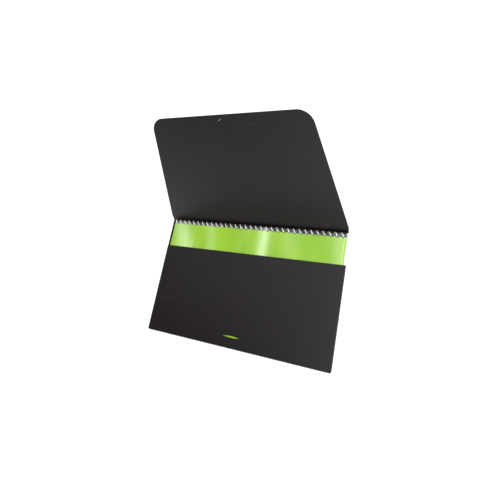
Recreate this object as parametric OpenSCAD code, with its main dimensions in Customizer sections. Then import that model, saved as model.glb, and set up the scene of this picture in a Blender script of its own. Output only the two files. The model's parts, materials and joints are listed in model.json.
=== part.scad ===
// Pocket notebook: a coil-bound notebook in a folded plastic folder.
// The folder is one scored sheet: back panel, pocket, spine strip and closing flap.
// X runs along the spine, Y from the pocket's bottom to the spine, Z up.
// The origin is the middle of the back panel's underside.

/* [Folder sheet] */
// Thickness of the plastic sheet
sheet_t = 0.7; // [0.5:0.05:1.2]
// Half of the thinned line that is left open at each crease
crease_gap = 0.25; // [0.2:0.05:0.4]

/* [Pocket] */
// Distance from the spine crease to the pocket's mouth
mouth_from_spine = 34.7; // [28:0.1:60]
// Free width beside the notebook in the pocket
side_room = 4.6; // [1:0.1:8]
// Free depth between the notebook and the bottom fold's hollow
bottom_room = 2.5; // [0.6:0.1:5]
// How far the pocket's front leans to the right of the back panel
pocket_lean = 2.8; // [0:0.1:4]
// Gap between the notebook and the pocket's right wall
wall_gap = 0.4; // [0.3:0.1:1]
// Free height between the notebook and the pocket's front
pocket_clearance = 0.25; // [0.2:0.05:1]
// Length of the slit that takes the tongue
slit_l = 20; // [12:0.5:24]
// Widest opening of the slit
slit_w = 1.8; // [1.2:0.1:3]
// Distance from the folder's bottom edge to the slit
slit_from_bottom = 12.4; // [8:0.1:30]

/* [Flap] */
// How much shorter the flap is than the back panel
flap_short = 10; // [0:0.5:30]
// How much narrower the free edge is, on each side
flap_taper = 28; // [10:1:40]
// Radius of the flap's two free corners
flap_corner_r = 15.5; // [8:0.5:30]
// Angle of the strip and flap above the table when the folder stands open
open_angle = 57; // [30:1:85]
// Gap between the coil and the closed flap
flap_clearance = 0.45; // [0.3:0.05:2]

/* [Tongue] */
// Diameter of the round tongue cut in the flap
tongue_d = 16; // [12:0.5:22]
// Distance from the tongue's centre to the flap's free edge
tongue_inset = 11; // [11:0.5:18]
// Distance from the tongue's centre back to its bending line
tongue_root = 4.5; // [3:0.5:5.5]
// Width of the cut round the tongue
tongue_kerf = 0.35; // [0.3:0.05:0.6]

/* [Notebook] */
// Width of the notebook along the coil
page_w = 210; // [170:1:260]
// Length of a leaf across the coil
page_l = 130; // [100:1:160]
// Radius of the page corners
page_corner_r = 3; // [1:0.5:8]
// Number of leaves
leaf_count = 14; // [8:1:22]
// Thickness of one leaf
leaf_t = 0.1; // [0.08:0.01:0.12]
// Thickness of each cover
cover_t = 0.4; // [0.3:0.05:0.6]

/* [Coil] */
// Distance between two turns of the coil
coil_pitch = 6.35; // [5:0.01:8.5]
// Outside diameter of the coil
coil_od = 5.2; // [5:0.1:8]
// Diameter of the coil's wire
wire_d = 0.9; // [0.6:0.05:1]
// Diameter of the punched holes
hole_d = 3.2; // [3:0.1:4.2]
// Paper left between the holes and the bound edge
hole_edge = 0.8; // [0.8:0.1:2]
// Distance between the coil and the spine crease
coil_from_spine = 0.9; // [0.9:0.1:4]
// Gap between the coil and the back panel
coil_lift = 0.15; // [0.1:0.05:0.5]

/* [Hidden] */
$fn = 48;
cut = 1;                                  // how far a cutting solid runs past a face
wire_sides = 6;                           // sides of the coil's wire
turn_steps = 12;                          // rings in one turn of the coil

// Heights of the coil, the stack of leaves and the pocket
coil_r = (coil_od - wire_d) / 2;
coil_z = sheet_t + coil_lift + coil_od / 2;
stack_t = 2 * cover_t + leaf_count * leaf_t;
stack_z = coil_z - 0.63 * stack_t;        // the stack hangs a little low in the coil
front_z = stack_z + stack_t + pocket_clearance;
pocket_h = front_z + sheet_t;
fold_r = pocket_h / 2;

// The holes and the bound edge, measured from the coil's axis
hole_offset = -0.85 * coil_r;
edge_offset = hole_offset + hole_d / 2 + hole_edge;

// The folder is as large as the notebook and the room round it
folder_w = page_w + side_room + 2 * sheet_t;
coil_inset = coil_from_spine + coil_od / 2;
folder_d = coil_inset - edge_offset + page_l + bottom_room + fold_r;
flap_reach = folder_d - flap_short;

// Places along Y
coil_y = folder_d / 2 - coil_inset;
hole_y = coil_y + hole_offset;
page_top = coil_y + edge_offset;
fold_y = -folder_d / 2 + fold_r;
mouth_y = folder_d / 2 - mouth_from_spine;
slit_y = -folder_d / 2 + slit_from_bottom;

// Places along X: the notebook lies against the leaning right wall
wall_lean_at_stack = pocket_lean * (stack_z - sheet_t) / (pocket_h - sheet_t);
notebook_shift = side_room / 2 + wall_lean_at_stack - wall_gap;
side_margin = 3.4;                        // least distance from a hole's centre to the side
hole_count = floor((page_w - 2 * side_margin) / coil_pitch + 0.001) + 1;
first_hole_x = notebook_shift - (hole_count - 1) * coil_pitch / 2;
slit_arc_r = (pow(slit_l / 2, 2) + pow(slit_w / 2, 2)) / slit_w;

// The creases
crease_y = folder_d / 2;
crease_z = sheet_t / 2;
strip_w = coil_z + coil_od / 2 + flap_clearance + sheet_t / 2 - crease_z;
edge_r = sheet_t / 2;                     // every creased edge is rounded
flap_end = flap_reach - strip_w;
tongue_y = flap_end - tongue_inset;
tongue_root_y = tongue_y - tongue_root;

LEAVES = [for (i = [1 : leaf_count]) str("leaf_", i < 10 ? "0" : "", i)];

sheet_colour = [0.15, 0.145, 0.15];
cover_colour = [0.62, 0.83, 0.27];
paper_colour = [0.95, 0.95, 0.92];
wire_colour = [0.78, 0.78, 0.76];

// A rounded edge of the sheet along X, with its middle at the given Y
module creased_edge(w, y) {
    translate([-w / 2, y, 0]) rotate([0, 90, 0]) cylinder(r = edge_r, h = w);
}

// Places a shape drawn flat, with Y running away from the spine crease
module at_spine_crease() {
    translate([0, crease_y, crease_z]) rotate([open_angle, 0, 0]) children();
}

module at_flap_crease() {
    at_spine_crease() translate([0, strip_w, 0]) children();
}

// Back panel, flat on the table
module back_panel() {
    color(sheet_colour) {
        edge_y = crease_y - crease_gap - edge_r;
        translate([-folder_w / 2, fold_y, 0]) cube([folder_w, edge_y - fold_y, sheet_t]);
        translate([0, 0, crease_z]) creased_edge(folder_w, edge_y);
    }
}

// Half-round fold that turns the back panel up into the pocket's front
module pocket_bottom_fold() {
    color(sheet_colour)
    translate([(pocket_lean - folder_w) / 2, fold_y, fold_r]) rotate([0, 90, 0])
        difference() {
            cylinder(r = fold_r, h = folder_w);
            translate([0, 0, -cut]) cylinder(r = fold_r - sheet_t, h = folder_w + 2 * cut);
            translate([-2 * fold_r, 0, -cut]) cube([4 * fold_r, 2 * fold_r, folder_w + 2 * cut]);
        }
}

// Side wall of the pocket, from its foot on the back panel up to the front
module side_wall(foot_x) {
    translate([0, mouth_y, 0]) rotate([90, 0, 0])
        linear_extrude(mouth_y - fold_y)
            polygon([[foot_x, sheet_t], [foot_x + sheet_t, sheet_t],
                     [foot_x + sheet_t + pocket_lean, pocket_h], [foot_x + pocket_lean, pocket_h]]);
}

module pocket_left_wall() {
    color(sheet_colour) side_wall(-folder_w / 2);
}

module pocket_right_wall() {
    color(sheet_colour) side_wall(folder_w / 2 - sheet_t);
}

// Front of the pocket, with the lens-shaped slit for the tongue
module pocket_front() {
    lean_at_underside = pocket_lean * (front_z - sheet_t) / (pocket_h - sheet_t);
    inner_w = folder_w - 2 * sheet_t;
    color(sheet_colour)
    difference() {
        translate([0, mouth_y, 0]) rotate([90, 0, 0])
            linear_extrude(mouth_y - fold_y)
                polygon([[-inner_w / 2 + lean_at_underside, front_z],
                         [inner_w / 2 + lean_at_underside, front_z],
                         [inner_w / 2 + pocket_lean, pocket_h],
                         [-inner_w / 2 + pocket_lean, pocket_h]]);
        translate([pocket_lean, slit_y, front_z - cut])
            intersection_for(side = [-1, 1])
                translate([0, side * (slit_arc_r - slit_w / 2), 0])
                    cylinder(r = slit_arc_r, h = sheet_t + 2 * cut);
    }
}

// Narrow strip that stands behind the coil when the folder is shut
module spine_strip() {
    low = crease_gap + edge_r;
    high = strip_w - crease_gap - edge_r;
    color(sheet_colour) at_spine_crease() {
        translate([-folder_w / 2, low, -sheet_t / 2]) cube([folder_w, high - low, sheet_t]);
        creased_edge(folder_w, low);
        creased_edge(folder_w, high);
    }
}

// Outline of the flap with its two free corners rounded
module flap_plate() {
    root = crease_gap + edge_r;
    half_root = folder_w / 2;
    half_end = folder_w / 2 - flap_taper;
    slope = atan2(flap_taper, flap_end);
    tangent = flap_corner_r * tan((90 - slope) / 2);
    centre_x = half_end - tangent;
    centre_y = flap_end - flap_corner_r;
    side_x = half_end + tangent * sin(slope);
    side_y = flap_end - tangent * cos(slope);
    root_x = half_root - flap_taper * root / flap_end;
    translate([0, 0, -sheet_t / 2]) {
        linear_extrude(sheet_t)
            polygon([[-root_x, root], [root_x, root], [side_x, side_y], [centre_x, centre_y],
                     [centre_x, flap_end], [-centre_x, flap_end], [-centre_x, centre_y],
                     [-side_x, side_y]]);
        for (side = [-1, 1])
            translate([side * centre_x, centre_y, 0]) cylinder(r = flap_corner_r, h = sheet_t);
    }
    creased_edge(2 * root_x, root);
}

// Round tongue in the flap's own plane; grow widens it to cut its opening
module tongue_plate(grow, root_y) {
    reach = tongue_d / 2 + grow;
    intersection() {
        translate([0, tongue_y, -sheet_t / 2 - grow]) cylinder(r = reach, h = sheet_t + 2 * grow);
        translate([-reach, root_y, -sheet_t / 2 - grow])
            cube([2 * reach, 3 * reach, sheet_t + 2 * grow]);
    }
}

module flap() {
    color(sheet_colour) at_flap_crease()
        difference() {
            flap_plate();
            tongue_plate(tongue_kerf, tongue_root_y - crease_gap);
        }
}

module closure_tongue() {
    root = tongue_root_y + crease_gap + edge_r;
    chord = 2 * sqrt(pow(tongue_d / 2, 2) - pow(tongue_y - root, 2));
    color(sheet_colour) at_flap_crease() {
        tongue_plate(0, root);
        creased_edge(chord, root);
    }
}

// A cover or leaf with its punched holes, lying at height z above the back cover
module punched_sheet(z, t) {
    half_w = page_w / 2;
    translate([notebook_shift, page_top - page_l, stack_z + z])
        difference() {
            union() {
                translate([-half_w + page_corner_r, 0, 0])
                    cube([page_w - 2 * page_corner_r, page_l, t]);
                translate([-half_w, page_corner_r, 0])
                    cube([page_w, page_l - 2 * page_corner_r, t]);
                for (x = [-1, 1], y = [page_corner_r, page_l - page_corner_r])
                    translate([x * (half_w - page_corner_r), y, 0])
                        cylinder(r = page_corner_r, h = t);
            }
            for (i = [0 : hole_count - 1])
                translate([first_hole_x - notebook_shift + i * coil_pitch,
                           hole_y - page_top + page_l, -cut])
                    cylinder(d = hole_d, h = t + 2 * cut);
        }
}

module back_cover() {
    color(cover_colour) punched_sheet(0, cover_t);
}

module leaf(i) {
    color(paper_colour) punched_sheet(cover_t + i * leaf_t, leaf_t);
}

module front_cover() {
    color(cover_colour) punched_sheet(stack_t - cover_t, cover_t);
}

// A point of the coil's centre line; at 180 degrees the wire is in a hole
function coil_point(a) =
    [first_hole_x + coil_pitch * (a - 180) / 360, coil_y + coil_r * cos(a), coil_z + coil_r * sin(a)];

// The ring of corners round the wire at angle a
function coil_ring(a) =
    let (along = [coil_pitch / (2 * PI), -coil_r * sin(a), coil_r * cos(a)],
         t = along / norm(along),
         n = [0, cos(a), sin(a)],
         b = cross(t, n),
         p = coil_point(a))
    [for (k = [0 : wire_sides - 1])
        p + wire_d / 2 * (cos(k * 360 / wire_sides) * n + sin(k * 360 / wire_sides) * b)];

// The binding coil, swept through every hole
module coil_binding() {
    first = 30;
    last = 330 + 360 * (hole_count - 1);
    steps = round((last - first) * turn_steps / 360);
    rings = [for (i = [0 : steps]) coil_ring(first + (last - first) * i / steps)];
    points = [for (ring = rings) each ring];
    sides = [for (i = [0 : steps - 1], k = [0 : wire_sides - 1])
        let (a = i * wire_sides + k, b = i * wire_sides + (k + 1) % wire_sides)
        each [[a, b, b + wire_sides], [a, b + wire_sides, a + wire_sides]]];
    start_cap = [[for (k = [wire_sides - 1 : -1 : 0]) k]];
    end_cap = [[for (k = [0 : wire_sides - 1]) steps * wire_sides + k]];
    color(wire_colour) polyhedron(points, concat(sides, start_cap, end_cap), convexity = 10);
}

back_panel();
pocket_bottom_fold();
pocket_left_wall();
pocket_right_wall();
pocket_front();
spine_strip();
flap();
closure_tongue();
front_cover();
back_cover();
coil_binding();
for (i = [0 : leaf_count - 1]) leaf(i);
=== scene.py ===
import json
import math

import bpy
from bpy.props import FloatProperty, FloatVectorProperty, IntProperty, PointerProperty
from bpy.types import Operator, Panel, PropertyGroup
from mathutils import Matrix, Vector


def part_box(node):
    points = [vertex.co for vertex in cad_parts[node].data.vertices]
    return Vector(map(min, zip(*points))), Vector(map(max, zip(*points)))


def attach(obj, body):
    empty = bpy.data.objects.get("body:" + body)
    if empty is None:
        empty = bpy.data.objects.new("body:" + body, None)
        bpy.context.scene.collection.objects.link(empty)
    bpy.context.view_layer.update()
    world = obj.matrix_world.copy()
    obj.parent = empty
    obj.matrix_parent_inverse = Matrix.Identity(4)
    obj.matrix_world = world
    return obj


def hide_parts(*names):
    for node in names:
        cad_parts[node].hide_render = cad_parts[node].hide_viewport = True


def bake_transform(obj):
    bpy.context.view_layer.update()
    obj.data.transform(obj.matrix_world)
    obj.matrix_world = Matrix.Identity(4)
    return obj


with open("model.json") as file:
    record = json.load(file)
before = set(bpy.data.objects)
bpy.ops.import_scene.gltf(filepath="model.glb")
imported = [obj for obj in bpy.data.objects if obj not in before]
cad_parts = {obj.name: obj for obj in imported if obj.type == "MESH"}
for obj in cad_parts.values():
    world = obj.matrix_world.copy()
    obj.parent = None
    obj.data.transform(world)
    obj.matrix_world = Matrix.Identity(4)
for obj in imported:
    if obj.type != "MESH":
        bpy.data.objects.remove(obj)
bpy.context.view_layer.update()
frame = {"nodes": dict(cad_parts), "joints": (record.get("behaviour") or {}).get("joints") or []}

bl_info = {
    "name": "Pocket notebook",
    "version": (1, 0, 0),
    "blender": (4, 5, 0),
    "location": "3D View > Sidebar > Notebook",
    "description": "A coil-bound notebook in a folded plastic folder with a closing flap",
    "category": "Add Mesh",
}

MM = 0.001
NEAR = 1e-6                               # two places nearer than this are the same
MERGE = 2e-6                              # corners nearer than this are merged

# Places and sizes that come from the frame, in metres
BACK_LOW, BACK_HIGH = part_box("back_panel")
FRONT_LOW, FRONT_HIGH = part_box("pocket_front")
COVER_LOW, COVER_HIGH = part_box("front_cover")
UNDER_LOW, UNDER_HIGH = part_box("back_cover")
COIL_LOW, COIL_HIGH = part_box("coil_binding")
WALL_LOW, WALL_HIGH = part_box("pocket_left_wall")
JOINTS = {joint["name"]: joint for joint in frame["joints"]}
SPINE_CREASE = Vector(JOINTS["spine_crease"]["pos_m"])
FLAP_CREASE = Vector(JOINTS["flap_crease"]["pos_m"])
TONGUE_BEND = Vector(JOINTS["tongue_bend"]["pos_m"])
LEAVES = sorted(name for name in frame["nodes"] if name.startswith("leaf_"))

SHEET = BACK_HIGH.z - BACK_LOW.z          # thickness of the folder's plastic
UP_FLAP = (FLAP_CREASE - SPINE_CREASE).normalized()
OPEN_ANGLE = math.atan2(UP_FLAP.z, UP_FLAP.y)
STRIP_W = (FLAP_CREASE - SPINE_CREASE).length
BEND_AT = (TONGUE_BEND - FLAP_CREASE).length
HALF_W = BACK_HIGH.x
MOUTH_Y = FRONT_HIGH.y
LEAN = WALL_HIGH.x - WALL_LOW.x - SHEET   # the pocket's front lies this far to the right
FRONT_HEIGHT = FRONT_HIGH.z - BACK_LOW.z  # from the table to the pocket's outer face

# Small shapes of the folder's sheet
SCORE_HALF = 0.35 * MM                    # half of a pressed score line's width
SCORE_DEPTH = 0.16 * MM
STRIP_LINE = 0.5 * MM                     # from the strip's middle to each of its two cuts
CREASE_ROUND = 0.42                       # share of the sheet rounded off beside a crease
WEB_REACH = 2.2                           # a web's half width, in crease gaps
TONGUE_EASE = 0.2 * MM                    # the tongue's eased rim
COVER_EASE = 0.07 * MM                    # the covers' eased edges

# The cover's pressed line, and the painted shade under its coil: a black band on the cover
PRESS_INSET = 2.6 * MM                    # from the cover's right edge to the line
PRESS_HALF, PRESS_FADE = 0.25 * MM, 0.5 * MM
# How far the painted coil shade reaches past the holes' middles, and its soft edge
COIL_SHADE_PAST_HOLES, COIL_SHADE_EDGE = 0.75 * MM, 0.1 * MM

# The coil's ends, which are bent in
END_TURN = 30                             # degrees left off each end turn
END_SHRINK, END_ADVANCE = 0.45, 0.12      # how far an end turns in, and moves on, as shares

# Colours that are only part of a finish
WORN_PLASTIC = (0.035, 0.034, 0.036)
MILKY_STREAK = (0.50, 0.72, 0.20)
# Painted shade: black put on the cover where the coil shades it
PAINTED_COIL_SHADE = (0.012, 0.014, 0.010)
PRESSED_LINE = (0.55, 0.80, 0.25)


# ---------------------------------------------------------------- sizes and colours

class NotebookFolderSizes(PropertyGroup):
    crease_gap: FloatProperty(
        name="Crease gap", description="Half of the thinned line left open at each crease",
        default=0.25 * MM, min=0.1 * MM, max=0.5 * MM, unit="LENGTH")
    web: FloatProperty(
        name="Crease web", description="Thickness of the plastic left in a crease",
        default=0.28 * MM, min=0.1 * MM, max=0.5 * MM, unit="LENGTH")
    fold_r: FloatProperty(
        name="Side fold radius", description="Radius of the folds along the pocket's sides",
        default=1.3 * MM, min=0.8 * MM, max=2 * MM, unit="LENGTH")
    edge: FloatProperty(
        name="Cut edge", description="Width of the fine bevel on every cut edge of the sheet",
        default=0.12 * MM, min=0.05 * MM, max=0.3 * MM, unit="LENGTH")
    score_inset: FloatProperty(
        name="Score inset", description="Distance from the pocket's side to its pressed score line",
        default=2.6 * MM, min=2 * MM, max=8 * MM, unit="LENGTH")
    ear_trim: FloatProperty(
        name="Right edge trim", description="How far the bare back panel's right edge is cut in",
        default=0.9 * MM, min=0, max=2 * MM, unit="LENGTH")
    slit_l: FloatProperty(
        name="Slit length", description="Length of the slit that takes the tongue",
        default=20 * MM, min=12 * MM, max=24 * MM, unit="LENGTH")
    slit_w: FloatProperty(
        name="Slit width", description="Widest opening of the slit",
        default=1.8 * MM, min=1 * MM, max=3 * MM, unit="LENGTH")
    slit_from_bottom: FloatProperty(
        name="Slit height", description="Distance from the folder's bottom edge to the slit",
        default=12.4 * MM, min=8 * MM, max=30 * MM, unit="LENGTH")
    flap_l: FloatProperty(
        name="Flap length", description="Distance from the flap's crease to its free edge",
        default=121.53 * MM, min=100 * MM, max=130 * MM, unit="LENGTH")
    flap_taper: FloatProperty(
        name="Flap taper", description="How much narrower the free edge is, on each side",
        default=28 * MM, min=10 * MM, max=40 * MM, unit="LENGTH")
    flap_corner_r: FloatProperty(
        name="Flap corner radius", description="Radius of the flap's two free corners",
        default=15.5 * MM, min=8 * MM, max=30 * MM, unit="LENGTH")
    tongue_d: FloatProperty(
        name="Tongue diameter", description="Diameter of the round tongue",
        default=16 * MM, min=12 * MM, max=22 * MM, unit="LENGTH")
    tongue_root: FloatProperty(
        name="Tongue root", description="Distance from the tongue's centre to its bending line",
        default=4.5 * MM, min=3 * MM, max=6 * MM, unit="LENGTH")
    kerf: FloatProperty(
        name="Tongue cut", description="Width of the cut round the tongue",
        default=0.12 * MM, min=0.05 * MM, max=0.8 * MM, unit="LENGTH")


class NotebookBookSizes(PropertyGroup):
    corner_r: FloatProperty(
        name="Page corner radius", description="Radius of the covers' corners",
        default=3 * MM, min=1 * MM, max=8 * MM, unit="LENGTH")
    holes: IntProperty(
        name="Holes", description="Number of punched holes", default=33, min=10, max=40)
    pitch: FloatProperty(
        name="Coil pitch", description="Distance between two turns of the coil",
        default=6.35 * MM, min=5 * MM, max=8.5 * MM, unit="LENGTH")
    hole_d: FloatProperty(
        name="Hole diameter", description="Diameter of the punched holes",
        default=3.2 * MM, min=3 * MM, max=4.2 * MM, unit="LENGTH")
    hole_edge: FloatProperty(
        name="Hole edge", description="Sheet left between the holes and the bound edge",
        default=0.8 * MM, min=0.8 * MM, max=2 * MM, unit="LENGTH")
    wire_d: FloatProperty(
        name="Wire diameter", description="Diameter of the coil's wire",
        default=0.9 * MM, min=0.6 * MM, max=1 * MM, unit="LENGTH")
    turn_points: IntProperty(
        name="Points in a turn", description="Points on the wire's line in one turn",
        default=20, min=12, max=40)


class NotebookColours(PropertyGroup):
    folder: FloatVectorProperty(
        name="Folder", description="Colour of the folder's plastic", subtype="COLOR",
        default=(0.0048, 0.0026, 0.0034), min=0, max=1)
    cover: FloatVectorProperty(
        name="Covers", description="Colour of the notebook's covers", subtype="COLOR",
        default=(0.250, 0.460, 0.012), min=0, max=1)
    cover_deep: FloatVectorProperty(
        name="Covers, deep", description="Deeper colour in the covers' streaks", subtype="COLOR",
        default=(0.195, 0.40, 0.006), min=0, max=1)
    paper: FloatVectorProperty(
        name="Paper", description="Colour of the leaves", subtype="COLOR",
        default=(0.88, 0.88, 0.84), min=0, max=1)
    wire: FloatVectorProperty(
        name="Wire", description="Colour of the coil's wire", subtype="COLOR",
        default=(0.95, 0.94, 0.89), min=0, max=1)


class NotebookStage(PropertyGroup):
    floor_w: FloatProperty(
        name="Floor width", description="Side of the square floor",
        default=12, min=2, max=40, unit="LENGTH")
    lens: FloatProperty(
        name="Lens", description="Focal length of the camera, in millimetres",
        default=24.14, min=15, max=100)
    camera_at: FloatVectorProperty(
        name="Camera place", description="Where the camera stands", subtype="XYZ", unit="LENGTH",
        default=(0.15515, -0.02739, 0.33879))
    camera_to: FloatVectorProperty(
        name="Camera aim", description="The point that the camera looks at", subtype="XYZ",
        unit="LENGTH", default=(0.00567, 0.03917, 0.005))
    camera_roll: FloatProperty(
        name="Camera roll", description="Turn of the camera about its own line of sight",
        default=math.radians(-57.29), subtype="ANGLE", unit="ROTATION")


# ---------------------------------------------------------------- materials

class Value:
    """One output socket of a node tree. Arithmetic on it adds Math nodes."""

    def __init__(self, shade, socket):
        self.shade, self.socket = shade, socket

    def maths(self, operation, a, b=0.0):
        return self.shade.node("ShaderNodeMath", {"operation": operation}, {0: a, 1: b})

    def __add__(self, other):
        return self.maths("ADD", self, other)

    def __sub__(self, other):
        return self.maths("SUBTRACT", self, other)

    def __rsub__(self, other):
        return self.maths("SUBTRACT", other, self)

    def __mul__(self, other):
        return self.maths("MULTIPLY", self, other)

    __radd__, __rmul__ = __add__, __mul__

    def __abs__(self):
        return self.maths("ABSOLUTE", self)

    def clamped(self):
        """The value kept between 0 and 1."""
        return self.shade.node("ShaderNodeClamp", {}, {"Value": self})


class Shade:
    """A material's node tree with its shader, coordinates and one method that makes nodes.
    Given a world, it is the world's tree, and the place is the direction looked in."""

    def __init__(self, name, world=None):
        self.material = world or bpy.data.materials.new(name)
        self.material.use_nodes = True
        self.tree = self.material.node_tree
        self.shader = self.tree.nodes["Background" if world else "Principled BSDF"]
        coordinates = self.tree.nodes.new("ShaderNodeTexCoord")
        self.place = Value(self, coordinates.outputs["Generated" if world else "Object"])

    def node(self, kind, settings, sockets, output=0):
        """A node of that kind: its settings first, then the values or links of its sockets."""
        made = self.tree.nodes.new(kind)
        for key, value in settings.items():
            setattr(made, key, value)
        for key, value in sockets.items():
            self.put(made.inputs[key], value)
        return Value(self, made.outputs[output])

    def put(self, socket, value):
        if isinstance(value, Value):
            self.tree.links.new(value.socket, socket)
        else:
            socket.default_value = value

    def set(self, **sockets):
        """Sets or links the shader's sockets, named with _ for a space."""
        for key, value in sockets.items():
            self.put(self.shader.inputs[key.replace("_", " ")], value)

    def axis(self, name):
        """One coordinate of the place on the object, in metres."""
        return self.node("ShaderNodeSeparateXYZ", {}, {0: self.place}, "XYZ".index(name))

    def noise(self, scale, stretch=(1, 1, 1), detail=3.0, roughness=0.5):
        """Noise from 0 to 1, with scale in waves for each metre, stretched along the axes."""
        at = self.node("ShaderNodeMapping", {}, {"Vector": self.place, "Scale": stretch})
        return self.node("ShaderNodeTexNoise", {"noise_dimensions": "3D"}, {
            "Vector": at, "Scale": scale, "Detail": detail, "Roughness": roughness})

    def step(self, value, low, high, to_low=0.0, to_high=1.0):
        """A smooth step of the value from low to high."""
        return self.node("ShaderNodeMapRange", {"interpolation_type": "SMOOTHSTEP"}, {
            "Value": value, "From Min": low, "From Max": high,
            "To Min": to_low, "To Max": to_high})

    def mix(self, factor, a, b):
        """Colour a where the factor is 0 and b where it is 1."""
        return self.node("ShaderNodeMix", {"data_type": "RGBA"}, {
            "Factor": factor, 6: (*a, 1) if isinstance(a, tuple) else a,
            7: (*b, 1) if isinstance(b, tuple) else b}, 2)

    def bump(self, height, distance, strength=1.0, normal=None):
        sockets = {"Height": height, "Distance": distance, "Strength": strength}
        if normal is not None:
            sockets["Normal"] = normal
        return self.node("ShaderNodeBump", {}, sockets)


def satin_sheet(colours):
    """Black satin plastic: fine grain, faint cloudiness, and scuffs beside the mouth."""
    shade = Shade("satin_folder_sheet")
    base = tuple(colours.folder)
    cloud = shade.noise(28, detail=2.0)
    grain = shade.noise(2600, detail=2.0)
    scratch = shade.step(shade.noise(300, (0.06, 1.0, 1.0), detail=4.0), 0.66, 0.80)
    near_mouth = 1 - shade.step(abs(shade.axis("Y") - MOUTH_Y), 0.0002, 0.0022)
    wear = near_mouth * shade.step(shade.noise(420), 0.45, 0.7)
    tint = shade.mix(cloud, tuple(0.82 * c for c in base), tuple(1.22 * c for c in base))
    tint = shade.mix((scratch * 0.25 + wear * 0.45).clamped(), tint, WORN_PLASTIC)
    height = shade.bump(grain, 0.00002, 0.55)
    height = shade.bump(shade.noise(60, detail=1.0), 0.0002, 0.25, height)
    shade.set(Base_Color=tint, Roughness=0.35 + 0.07 * cloud + 0.08 * wear - 0.03 * scratch,
              Normal=height, IOR=1.49, Specular_IOR_Level=0.3)
    return shade.material


def glossy_cover(colours):
    """Glossy lime plastic with faint milky streaks and slow waves across its width."""
    shade = Shade("glossy_cover_sheet")
    streak = shade.noise(150, (1.0, 0.10, 1.0), detail=4.0, roughness=0.55)
    cloud = shade.noise(26, (1.0, 0.45, 1.0), detail=2.0)
    tint = shade.mix(shade.step(cloud, 0.30, 0.72), tuple(colours.cover_deep),
                     tuple(colours.cover))
    tint = shade.mix(shade.step(streak, 0.50, 0.85) * 0.22, tint, MILKY_STREAK)
    # Painted shade: black along the bound edge, where the coil shades the cover; and the whitened
    # line pressed beside the right edge
    coil_shade_y = hole_line(bpy.context.scene.notebook_book) - COIL_SHADE_PAST_HOLES
    strip = shade.step(shade.axis("Y"), coil_shade_y, coil_shade_y + COIL_SHADE_EDGE)
    tint = shade.mix(strip, tint, PAINTED_COIL_SHADE)
    press = shade.step(abs(shade.axis("X") - (COVER_HIGH.x - PRESS_INSET)),
                       PRESS_HALF, PRESS_FADE, 1, 0)
    tint = shade.mix(press * (1 - strip) * 0.5, tint, PRESSED_LINE)
    fine = shade.noise(900, detail=2.0)
    waves = shade.noise(34, (1.0, 0.22, 1.0), detail=1.5)
    small = shade.noise(210, (1.0, 0.35, 1.0), detail=2.0)
    height = shade.bump(waves, 0.00045, 0.35)
    height = shade.bump(small, 0.00006, 0.35, height)
    shade.set(Base_Color=tint, Roughness=0.30 + 0.10 * fine, Normal=height, IOR=1.5,
              Specular_IOR_Level=0.2, Coat_Weight=0.8 + 0.2 * cloud, Coat_Roughness=0.09,
              Coat_IOR=1.8)
    return shade.material


def leaf_paper(colours):
    """Uncoated paper with fine fibres."""
    shade = Shade("uncoated_paper")
    fibre = shade.noise(1800, (1.0, 0.25, 1.0), detail=4.0)
    cloud = shade.noise(120, detail=2.0)
    paper = tuple(colours.paper)
    tint = shade.mix(fibre * 0.6 + cloud * 0.4, tuple(0.93 * c for c in paper), paper)
    shade.set(Base_Color=tint, Roughness=0.82 + 0.1 * fibre,
              Normal=shade.bump(fibre, 0.00002, 0.4))
    return shade.material


def coil_wire(colours):
    """Bright drawn wire with fine lengthwise marks and a few dull spots."""
    shade = Shade("drawn_coil_wire")
    marks = shade.noise(1400, (1.0, 0.3, 0.3), detail=3.0)
    dull = shade.step(shade.noise(260), 0.55, 0.75)
    wire = tuple(colours.wire)
    tint = shade.mix(marks, tuple(0.80 * c for c in wire), wire)
    tint = shade.mix(dull * 0.35, tint, tuple(0.6 * c for c in wire))
    shade.set(Base_Color=tint, Metallic=0.4 - 0.15 * dull, Roughness=0.28 + 0.16 * marks,
              Normal=shade.bump(marks, 0.000015, 0.4))
    return shade.material


def hole_line(sizes):
    """How far up the covers the middles of their holes lie."""
    return COVER_HIGH.y - sizes.hole_edge - sizes.hole_d / 2


def finish_of(make):
    """The material that the function makes, made once."""
    made = bpy.data.materials.get(make.__name__ + "_made")
    if made is None:
        made = make(bpy.context.scene.notebook_colours)
        made.name = make.__name__ + "_made"
    return made


# ---------------------------------------------------------------- modelling by hand

def alone(obj):
    """Makes obj the active object and the only one selected."""
    if bpy.context.object and bpy.context.object.mode != "OBJECT":
        bpy.ops.object.mode_set(mode="OBJECT")
    bpy.ops.object.select_all(action="DESELECT")
    bpy.context.view_layer.objects.active = obj
    obj.select_set(True)
    return obj


def start(add, name, place=(0, 0, 0), scale=(1, 1, 1), **options):
    """Adds a primitive at its place and size and names it; its object ends at the origin."""
    if bpy.context.object and bpy.context.object.mode != "OBJECT":
        bpy.ops.object.mode_set(mode="OBJECT")
    bpy.ops.object.select_all(action="DESELECT")
    add(location=place, **options)
    obj = bpy.context.object
    obj.name = obj.data.name = name
    obj.scale = scale
    bpy.ops.object.transform_apply(location=True, rotation=True, scale=True)
    return obj


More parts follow.
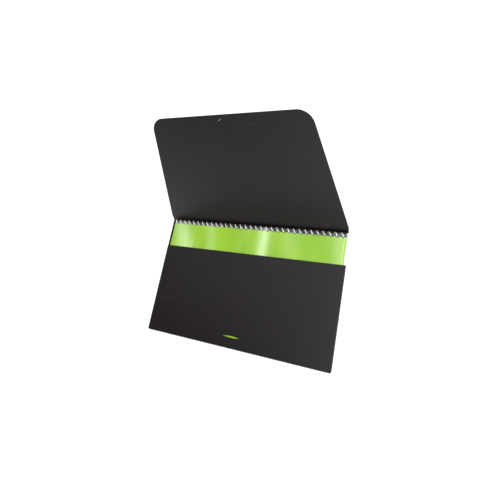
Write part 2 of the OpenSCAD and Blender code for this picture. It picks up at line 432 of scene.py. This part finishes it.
def pick(obj, kind, test):
    """Opens obj in edit mode with the corners, edges or faces selected that pass the test.
    A corner is tested by its place, an edge by its two ends, a face by its middle and normal."""
    alone(obj)
    mesh = obj.data
    for items in (mesh.vertices, mesh.edges, mesh.polygons):
        items.foreach_set("select", [False] * len(items))
    corners = mesh.vertices
    if kind == "VERT":
        for corner in corners:
            corner.select = bool(test(corner.co))
    elif kind == "EDGE":
        for edge in mesh.edges:
            a, b = (corners[i].co for i in edge.vertices)
            edge.select = bool(test(a, b))
    else:
        for face in mesh.polygons:
            face.select = bool(test(face.center, face.normal))
    bpy.context.tool_settings.mesh_select_mode = [kind == k for k in ("VERT", "EDGE", "FACE")]
    bpy.ops.object.mode_set(mode="EDIT")


def close_edit():
    bpy.ops.object.mode_set(mode="OBJECT")


def cut_across(obj, place, normal, **options):
    """Cuts the whole mesh with a plane."""
    pick(obj, "FACE", lambda middle, n: True)
    bpy.ops.mesh.bisect(plane_co=place, plane_no=normal, **options)
    close_edit()


def modify(obj, kind, **settings):
    """Adds a modifier and applies it."""
    alone(obj)
    modifier = obj.modifiers.new(kind.title(), kind)
    for key, value in settings.items():
        setattr(modifier, key, value)
    bpy.ops.object.modifier_apply(modifier=modifier.name)


def cut_out(obj, cutter, operation="DIFFERENCE"):
    """Cuts the cutter's shape out of obj and removes the cutter."""
    modify(obj, "BOOLEAN", object=cutter, operation=operation, solver="EXACT")
    bpy.data.objects.remove(cutter)


def thicken(obj, thickness, offset=0.0):
    modify(obj, "SOLIDIFY", thickness=thickness, offset=offset, use_even_offset=True)


def ease(obj, width, segments=2, angle=40):
    """A fine bevel along every sharp edge."""
    modify(obj, "BEVEL", width=width, segments=segments, limit_method="ANGLE",
           angle_limit=math.radians(angle), use_clamp_overlap=True, harden_normals=False)


def polish(obj, angle=35):
    """Merges doubles, turns the faces outward and smooths the rounded ones, wide faces flat."""
    pick(obj, "VERT", lambda place: True)
    bpy.ops.mesh.remove_doubles(threshold=MERGE)
    bpy.ops.mesh.normals_make_consistent(inside=False)
    close_edit()
    bpy.ops.object.shade_smooth_by_angle(angle=math.radians(angle))
    modify(obj, "WEIGHTED_NORMAL", mode="FACE_AREA", weight=80, keep_sharp=True)


def stand_on(obj, crease):
    """Turns a piece drawn flat, with Y running away from the crease, to the open angle."""
    alone(obj)
    obj.rotation_euler = (OPEN_ANGLE, 0, 0)
    obj.location = crease
    bpy.ops.object.transform_apply(location=True, rotation=True, scale=True)


def lens_cutter(place, length, width, height):
    """A lens-shaped prism: two round bars cut to what they share."""
    radius = ((length / 2) ** 2 + (width / 2) ** 2) / width
    bars = [start(bpy.ops.mesh.primitive_cylinder_add, f"lens_bar_{side}",
                  Vector(place) + Vector((0, side * (radius - width / 2), 0)),
                  radius=radius, depth=height, vertices=512) for side in (-1, 1)]
    cut_out(bars[0], bars[1], "INTERSECT")
    return bars[0]


def complete(obj, body, finish, slot, *nodes):
    """Gives a finished piece its material, ties it to its body and hides the CAD nodes that it
    stands for.
    """
    obj.data.materials.clear()
    obj.data.materials.append(finish_of(finish))
    if body:
        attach(obj, body)
    if nodes:
        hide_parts(*nodes)


# ---------------------------------------------------------------- the folder

class NOTEBOOK_OT_pocket_sheet(Operator):
    """Back panel and pocket: one sheet turned up at the bottom and folded in at both sides"""
    bl_idname = "notebook.pocket_sheet"
    bl_label = "Back panel and pocket"

    def execute(self, context):
        sizes = context.scene.notebook_folder
        half = SHEET / 2
        low, high = BACK_LOW.z + half, FRONT_HIGH.z - half
        middle, rise = (low + high) / 2, (high - low) / 2
        side = HALF_W - half
        fold_y = BACK_LOW.y
        # A flat ring with the pocket's cross-section at its mouth
        obj = start(bpy.ops.mesh.primitive_plane_add, "pocket_sheet",
                    (0, MOUTH_Y, middle), (side, rise, 1), size=2, rotation=(math.pi / 2, 0, 0))
        # Drawn back to the bottom fold, then closed in a half round
        pick(obj, "VERT", lambda place: True)
        bpy.ops.mesh.delete(type="ONLY_FACE")
        bpy.ops.mesh.select_all(action="SELECT")
        bpy.ops.mesh.extrude_region_move(
            TRANSFORM_OT_translate={"value": (0, fold_y - MOUTH_Y, 0)})
        steps, closed = 9, 1e-4
        last_cos, last_sin = 1.0, 0.0
        for i in range(1, steps + 1):
            turn = math.pi / 2 * i / steps
            cosine, sine = math.cos(turn), math.sin(turn)
            keep = max(cosine, closed) / last_cos
            bpy.ops.mesh.extrude_region_move(
                TRANSFORM_OT_translate={"value": (0, -rise * (sine - last_sin), 0)})
            bpy.ops.transform.resize(value=(1, 1, keep), center_override=(0, 0, middle))
            last_cos, last_sin = max(cosine, closed), sine
        bpy.ops.mesh.select_all(action="SELECT")
        bpy.ops.mesh.remove_doubles(threshold=MERGE)
        close_edit()
        # The folds along both sides, and the front's lean to the right
        pick(obj, "EDGE", lambda a, b: abs(a.x - b.x) < NEAR and abs(a.y - b.y) < NEAR
             and a.y < MOUTH_Y - 10 * NEAR)
        bpy.ops.mesh.dissolve_edges(use_verts=False)
        close_edit()
        pick(obj, "EDGE", lambda a, b: abs(a.x - b.x) < NEAR and abs(a.y - b.y) > NEAR)
        bpy.ops.mesh.bevel(offset=sizes.fold_r, segments=4, affect="EDGES", clamp_overlap=False)
        close_edit()
        lean = Matrix.Identity(4)
        lean[0][2], lean[0][3] = LEAN / (high - low), -LEAN * low / (high - low)
        obj.data.transform(lean)
        # The back panel runs on from the pocket's mouth to the spine crease
        end = SPINE_CREASE.y - sizes.crease_gap
        pick(obj, "EDGE", lambda a, b: all(
            abs(p.y - MOUTH_Y) < NEAR and p.z < low + NEAR for p in (a, b)))
        bpy.ops.mesh.extrude_region_move(TRANSFORM_OT_translate={"value": (0, end - MOUTH_Y, 0)})
        close_edit()
        for way in (-1, 1):
            pick(obj, "EDGE", lambda a, b: all(p.y > MOUTH_Y - NEAR and p.z < low + NEAR
                                               and way * p.x > HALF_W / 2 for p in (a, b))
                 and abs(a.x - b.x) < NEAR)
            ear = sizes.fold_r + half - (sizes.ear_trim if way > 0 else 0)
            bpy.ops.mesh.extrude_region_move(TRANSFORM_OT_translate={"value": (way * ear, 0, 0)})
            close_edit()
        # Pressed score lines beside the pocket's sides
        for way in (-1, 1):
            line = LEAN + way * (HALF_W - sizes.score_inset)
            for offset in (-SCORE_HALF, 0, SCORE_HALF):
                cut_across(obj, (line + offset, 0, 0), (1, 0, 0))
            pick(obj, "VERT", lambda p: abs(p.x - line) < NEAR and p.z > high - 10 * NEAR)
            bpy.ops.transform.translate(value=(0, 0, -SCORE_DEPTH))
            close_edit()
        polish(obj)
        thicken(obj, SHEET)
        slit_y = BACK_LOW.y - FRONT_HEIGHT / 2 + sizes.slit_from_bottom
        cut_out(obj, lens_cutter((LEAN, slit_y, high), sizes.slit_l, sizes.slit_w, 2 * SHEET))
        ease(obj, sizes.edge)
        polish(obj)
        complete(obj, "folder", satin_sheet, "folder_sheet", "back_panel", "pocket_bottom_fold",
                 "pocket_left_wall", "pocket_right_wall", "pocket_front")
        return {"FINISHED"}


class NOTEBOOK_OT_spine_strip(Operator):
    """Narrow strip between the two creases"""
    bl_idname = "notebook.spine_strip"
    bl_label = "Spine strip"

    def execute(self, context):
        sizes = context.scene.notebook_folder
        length = STRIP_W - 2 * sizes.crease_gap
        obj = start(bpy.ops.mesh.primitive_plane_add, "spine_strip", (0, STRIP_W / 2, 0),
                    (HALF_W, length / 2, 1), size=2)
        for offset in (-STRIP_LINE, STRIP_LINE):
            cut_across(obj, (0, STRIP_W / 2 + offset, 0), (0, 1, 0))
        thicken(obj, SHEET)
        pick(obj, "EDGE", lambda a, b: abs(a.x - b.x) > HALF_W and abs(a.z) > SHEET / 4
             and abs(abs(a.y - STRIP_W / 2) - length / 2) < NEAR)
        bpy.ops.mesh.bevel(offset=SHEET * CREASE_ROUND, segments=5, affect="EDGES")
        close_edit()
        ease(obj, sizes.edge)
        polish(obj)
        stand_on(obj, SPINE_CREASE)
        complete(obj, "strip", satin_sheet, "folder_sheet", "spine_strip")
        return {"FINISHED"}


def tongue_bar(name, sizes, grow, root_gap):
    """A round bar across the flap, cut off straight behind the tongue's bending line."""
    centre = BEND_AT + sizes.tongue_root
    bar = start(bpy.ops.mesh.primitive_cylinder_add, name, (0, centre, 0),
                radius=sizes.tongue_d / 2 + grow, depth=SHEET + 4 * grow, vertices=96)
    cut_across(bar, (0, BEND_AT + root_gap, 0), (0, 1, 0), clear_inner=True, use_fill=True)
    return bar


class NOTEBOOK_OT_flap(Operator):
    """Closing flap: a tapered sheet with two round corners and the tongue's opening"""
    bl_idname = "notebook.flap"
    bl_label = "Flap"

    def execute(self, context):
        sizes = context.scene.notebook_folder
        root = sizes.crease_gap
        length = sizes.flap_l - root
        obj = start(bpy.ops.mesh.primitive_plane_add, "closing_flap",
                    (0, root + length / 2, 0), (HALF_W, length / 2, 1), size=2)
        pick(obj, "VERT", lambda place: place.y > length / 2)
        bpy.ops.transform.resize(value=(1 - sizes.flap_taper / HALF_W, 1, 1),
                                 center_override=(0, sizes.flap_l, 0))
        slope = math.atan2(sizes.flap_taper, sizes.flap_l)
        tangent = sizes.flap_corner_r * math.tan((math.pi / 2 - slope) / 2)
        bpy.ops.mesh.bevel(offset=tangent, segments=20, affect="VERTICES")
        close_edit()
        thicken(obj, SHEET)
        cut_out(obj, tongue_bar("tongue_cutter", sizes, sizes.kerf, -sizes.crease_gap))
        pick(obj, "EDGE", lambda a, b: abs(a.x - b.x) > HALF_W and abs(a.y - root) < NEAR)
        bpy.ops.mesh.bevel(offset=SHEET * CREASE_ROUND, segments=5, affect="EDGES")
        close_edit()
        ease(obj, sizes.edge)
        polish(obj)
        stand_on(obj, FLAP_CREASE)
        complete(obj, "flap", satin_sheet, "folder_sheet", "flap")
        return {"FINISHED"}


class NOTEBOOK_OT_tongue(Operator):
    """Round tongue cut in the flap, with an eased rim"""
    bl_idname = "notebook.tongue"
    bl_label = "Tongue"

    def execute(self, context):
        sizes = context.scene.notebook_folder
        obj = tongue_bar("closing_tongue", sizes, 0, sizes.crease_gap)
        ease(obj, TONGUE_EASE, 3)
        polish(obj)
        stand_on(obj, FLAP_CREASE)
        complete(obj, "tongue", satin_sheet, "folder_sheet", "closure_tongue")
        return {"FINISHED"}


class NOTEBOOK_OT_creases(Operator):
    """The thin webs of plastic left where the sheet is scored"""
    bl_idname = "notebook.creases"
    bl_label = "Crease webs"

    def web(self, name, sizes, crease, half_w, reach, before, after, bodies):
        """A thin strip through a crease, from one direction in the YZ plane to another."""
        obj = start(bpy.ops.mesh.primitive_plane_add, name, crease, (half_w, reach, 1), size=2)
        cut_across(obj, crease, (0, 1, 0))
        for way, direction in ((-1, before), (1, after)):
            pick(obj, "VERT", lambda place: way * (place.y - crease.y) > reach / 2)
            bpy.ops.transform.translate(value=Vector(
                (0, math.cos(direction), math.sin(direction))) * way * reach
                - Vector((0, way * reach, 0)))
            close_edit()
        pick(obj, "EDGE", lambda a, b: (a - b).length > half_w
             and (Vector((0, a.y, a.z)) - Vector((0, crease.y, crease.z))).length < NEAR)
        bpy.ops.mesh.bevel(offset=0.55 * reach, segments=6, affect="EDGES")
        close_edit()
        polish(obj)
        thicken(obj, sizes.web)
        polish(obj)
        span = Vector((0, math.cos(before) + math.cos(after), math.sin(before) + math.sin(after)))
        span = span.normalized() * reach * 0.6
        complete(obj, None, satin_sheet, "folder_sheet")
        crease - span
        crease + span
        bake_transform(obj)

    def execute(self, context):
        sizes = context.scene.notebook_folder
        reach = WEB_REACH * sizes.crease_gap
        width = HALF_W - sizes.edge
        self.web("spine_crease_web", sizes, SPINE_CREASE, width, reach, 0, OPEN_ANGLE,
                 ("folder", "strip"))
        self.web("flap_crease_web", sizes, FLAP_CREASE, width, reach, OPEN_ANGLE, OPEN_ANGLE,
                 ("strip", "flap"))
        chord = math.sqrt((sizes.tongue_d / 2) ** 2 - sizes.tongue_root ** 2)
        self.web("tongue_crease_web", sizes, TONGUE_BEND, chord, reach,
                 OPEN_ANGLE, OPEN_ANGLE, ("flap", "tongue"))
        return {"FINISHED"}


# ---------------------------------------------------------------- the notebook

class NOTEBOOK_OT_covers(Operator):
    """Front and back covers of glossy plastic, with round corners and punched holes"""
    bl_idname = "notebook.covers"
    bl_label = "Covers"

    def execute(self, context):
        sizes = context.scene.notebook_book
        middle, half = (COVER_LOW + COVER_HIGH) / 2, (COVER_HIGH - COVER_LOW) / 2
        thickness = 2 * half.z
        obj = start(bpy.ops.mesh.primitive_plane_add, "front_cover_sheet", middle,
                    (half.x, half.y, 1), size=2)
        pick(obj, "VERT", lambda place: True)
        bpy.ops.mesh.bevel(offset=sizes.corner_r, segments=8, affect="VERTICES")
        close_edit()
        thicken(obj, thickness)
        punch = start(bpy.ops.mesh.primitive_cylinder_add, "punch",
                      (middle.x - (sizes.holes - 1) / 2 * sizes.pitch, hole_line(sizes), middle.z),
                      radius=sizes.hole_d / 2, depth=4 * thickness, vertices=28)
        modify(punch, "ARRAY", count=sizes.holes, use_relative_offset=False,
               use_constant_offset=True, constant_offset_displace=(sizes.pitch, 0, 0))
        cut_out(obj, punch)
        ease(obj, COVER_EASE)
        polish(obj)
        alone(obj)
        bpy.ops.object.duplicate(linked=False)
        under = bpy.context.object
        under.name = under.data.name = "back_cover_sheet"
        under.location.z = UNDER_LOW.z - COVER_LOW.z
        bpy.ops.object.transform_apply(location=True, rotation=True, scale=True)
        complete(obj, "notebook", glossy_cover, "cover_sheet", "front_cover")
        complete(under, "notebook", glossy_cover, "cover_sheet", "back_cover")
        return {"FINISHED"}


class NOTEBOOK_OT_leaves(Operator):
    """Paper finish on the leaves"""
    bl_idname = "notebook.leaves"
    bl_label = "Leaves"

    def execute(self, context):
        for name in LEAVES:
            leaf = frame["nodes"][name]
            leaf.data.materials.clear()
            leaf.data.materials.append(finish_of(leaf_paper))
        return {"FINISHED"}


class NOTEBOOK_OT_coil(Operator):
    """Wire coil through the holes, with both ends bent in"""
    bl_idname = "notebook.coil"
    bl_label = "Coil"

    def execute(self, context):
        sizes = context.scene.notebook_book
        wire_r = sizes.wire_d / 2
        axis_y = (COIL_LOW.y + COIL_HIGH.y) / 2
        axis_z = (COIL_LOW.z + COIL_HIGH.z) / 2
        radius = (COIL_HIGH.y - COIL_LOW.y) / 2 - wire_r
        first_x = (COVER_LOW.x + COVER_HIGH.x) / 2 - (sizes.holes - 1) / 2 * sizes.pitch
        first, last = END_TURN, 360 * sizes.holes - END_TURN
        steps = round((last - first) * sizes.turn_points / 360)
        bend = sizes.turn_points // 3
        line = []
        for i in range(-bend, steps + bend + 1):
            turn = first + (last - first) * i / steps
            past = max(0, -i, i - steps) / bend
            shrink = 1 - END_SHRINK * past ** 1.5
            t = math.radians(turn)
            advance = sizes.pitch * (min(max(turn, first), last) - 180) / 360
            advance += math.copysign(END_ADVANCE * sizes.pitch * past, i - steps / 2)
            line.append((first_x + advance, axis_y + radius * shrink * math.cos(t),
                         axis_z + radius * shrink * math.sin(t)))
        curve = bpy.data.curves.new("wire_coil", "CURVE")
        curve.dimensions = "3D"
        curve.bevel_depth = wire_r
        curve.bevel_resolution = 2
        curve.use_fill_caps = True
        spline = curve.splines.new("POLY")
        spline.points.add(len(line) - 1)
        for point, place in zip(spline.points, line):
            point.co = (*place, 1)
        obj = bpy.data.objects.new("wire_coil", curve)
        context.scene.collection.objects.link(obj)
        alone(obj)
        bpy.ops.object.convert(target="MESH")
        obj = bpy.context.object
        obj.name = obj.data.name = "wire_coil"
        polish(obj, 60)
        complete(obj, "notebook", coil_wire, "coil_wire", "coil_binding")
        return {"FINISHED"}


# ---------------------------------------------------------------- the stage

def soft_light(name, place, towards, size, radiance):
    """A rectangular light whose face has that radiance."""
    light = bpy.data.lights.new(name, "AREA")
    light.shape, light.size, light.size_y = "RECTANGLE", *size
    light.energy = radiance * math.pi * size[0] * size[1]
    obj = bpy.data.objects.new(name, light)
    bpy.context.scene.collection.objects.link(obj)
    obj.location = place
    obj.rotation_mode = "QUATERNION"
    obj.rotation_quaternion = (Vector(towards) - Vector(place)).to_track_quat("-Z", "Y")
    return obj


SENSOR_W = 36                             # the camera's sensor, in millimetres
SPOT_Y = 0.05                             # where along the cover the tubes are mirrored
TUBE_LENGTH = 0.6

# Soft lights: name, place, the point they face, sides and radiance
LIGHTS = (
    ("overhead", (0.62, 0.1, 1.5), (0.1, 0, 0), (2.2, 1.6), 1.8),
    ("key", (1.15, -0.3, 1.2), (0, 0, 0), (0.8, 0.8), 5.0),
    ("front_fill", (0.75, -2.2, 0.55), (0, 0.05, 0.05), (2.6, 1.0), 2.0),
)

# Tubes overhead that the glossy cover mirrors: name, place along the cover, slant,
# width and radiance
TUBES = (
    ("tube_wide", -0.087, -0.30, 0.070, 3.6),
    ("tube_left", -0.084, -0.35, 0.050, 9.0),
    ("tube_second", -0.047, -0.20, 0.030, 2.6),
    ("tube_third", -0.006, 0.25, 0.012, 1.2),
    ("tube_middle", 0.019, -0.02, 0.036, 6.8),
    ("tube_right", 0.050, -0.10, 0.060, 1.0),
)


class NOTEBOOK_OT_stage(Operator):
    """Pale floor, soft light and the camera"""
    bl_idname = "notebook.stage"
    bl_label = "Stage"

    def execute(self, context):
        stage = context.scene.notebook_stage
        floor = start(bpy.ops.mesh.primitive_plane_add, "floor", (0, 0, -0.3 * MM),
                      (stage.floor_w / 2, stage.floor_w / 2, 1), size=2)
        shade = Shade("pale_floor")
        shade.set(Base_Color=(0.5, 0.5, 0.5, 1), Roughness=0.9,
                  Emission_Color=(1, 1, 1, 1), Emission_Strength=0.62)
        floor.data.materials.append(shade.material)
        world = bpy.data.worlds.new("pale_room")
        room = Shade("pale_room", world)
        # Darker overhead on the left, and pale all round near the horizon
        above = room.step(room.axis("X"), -0.70, 0.15, 0.03, 0.95)
        horizon = room.step(room.axis("Z"), 0.12, 0.45, 0.85, 0)
        room.set(Color=(1, 1, 1, 1), Strength=above + horizon * (1 - above))
        context.scene.world = world
        for light in LIGHTS:
            soft_light(*light)
        for name, cover_x, slant, width, radiance in TUBES:
            spot = Vector((cover_x, SPOT_Y, COVER_HIGH.z))
            bounced = (spot - Vector(stage.camera_at)) * Vector((1, 1, -1))
            tube = soft_light(name, spot + bounced / bounced.z, spot, (TUBE_LENGTH, width),
                              radiance)
            tube.rotation_quaternion = Matrix(
                ((slant, 1, 0), (-1, slant, 0), (0, 0, 1))).transposed().to_quaternion()
        camera = bpy.data.objects.new("camera", bpy.data.cameras.new("camera"))
        context.scene.collection.objects.link(camera)
        place, aim = Vector(stage.camera_at), Vector(stage.camera_to)
        ahead = (aim - place).normalized()
        right = ahead.cross(Vector((0, 0, 1))).normalized()
        up = right.cross(ahead)
        turned = math.cos(stage.camera_roll) * right + math.sin(stage.camera_roll) * up
        upward = turned.cross(ahead)
        camera.matrix_world = Matrix.Translation(place) @ Matrix(
            (turned, upward, -ahead)).transposed().to_4x4()
        camera.data.sensor_width = SENSOR_W
        camera.data.lens = stage.lens
        camera.data.clip_start, camera.data.clip_end = 0.01, 50
        context.scene.camera = camera
        context.scene.view_settings.view_transform = "Standard"
        return {"FINISHED"}


class NOTEBOOK_PT_pieces(Panel):
    """Lists the pieces, their sizes and their colours"""
    bl_idname = "NOTEBOOK_PT_pieces"
    bl_label = "Pocket notebook"
    bl_space_type = "VIEW_3D"
    bl_region_type = "UI"
    bl_category = "Notebook"

    def draw(self, context):
        for group in GROUPS:
            settings = getattr(context.scene, group)
            box = self.layout.box()
            for name in settings.__annotations__:
                box.prop(settings, name)
        for operator in OPERATORS:
            self.layout.operator(operator.bl_idname)


GROUPS = {
    "notebook_folder": NotebookFolderSizes,
    "notebook_book": NotebookBookSizes,
    "notebook_colours": NotebookColours,
    "notebook_stage": NotebookStage,
}
OPERATORS = (
    NOTEBOOK_OT_pocket_sheet,
    NOTEBOOK_OT_spine_strip,
    NOTEBOOK_OT_flap,
    NOTEBOOK_OT_tongue,
    NOTEBOOK_OT_creases,
    NOTEBOOK_OT_covers,
    NOTEBOOK_OT_leaves,
    NOTEBOOK_OT_coil,
    NOTEBOOK_OT_stage,
)


def register():
    for kind in (*GROUPS.values(), *OPERATORS, NOTEBOOK_PT_pieces):
        bpy.utils.register_class(kind)
    for name, kind in GROUPS.items():
        setattr(bpy.types.Scene, name, PointerProperty(type=kind))


def unregister():
    for name in GROUPS:
        delattr(bpy.types.Scene, name)
    for kind in (NOTEBOOK_PT_pieces, *OPERATORS[::-1], *GROUPS.values()):
        bpy.utils.unregister_class(kind)


def main():
    register()
    for operator in OPERATORS:
        group, name = operator.bl_idname.split(".")
        getattr(getattr(bpy.ops, group), name)()


if __name__ == "__main__":
    main()
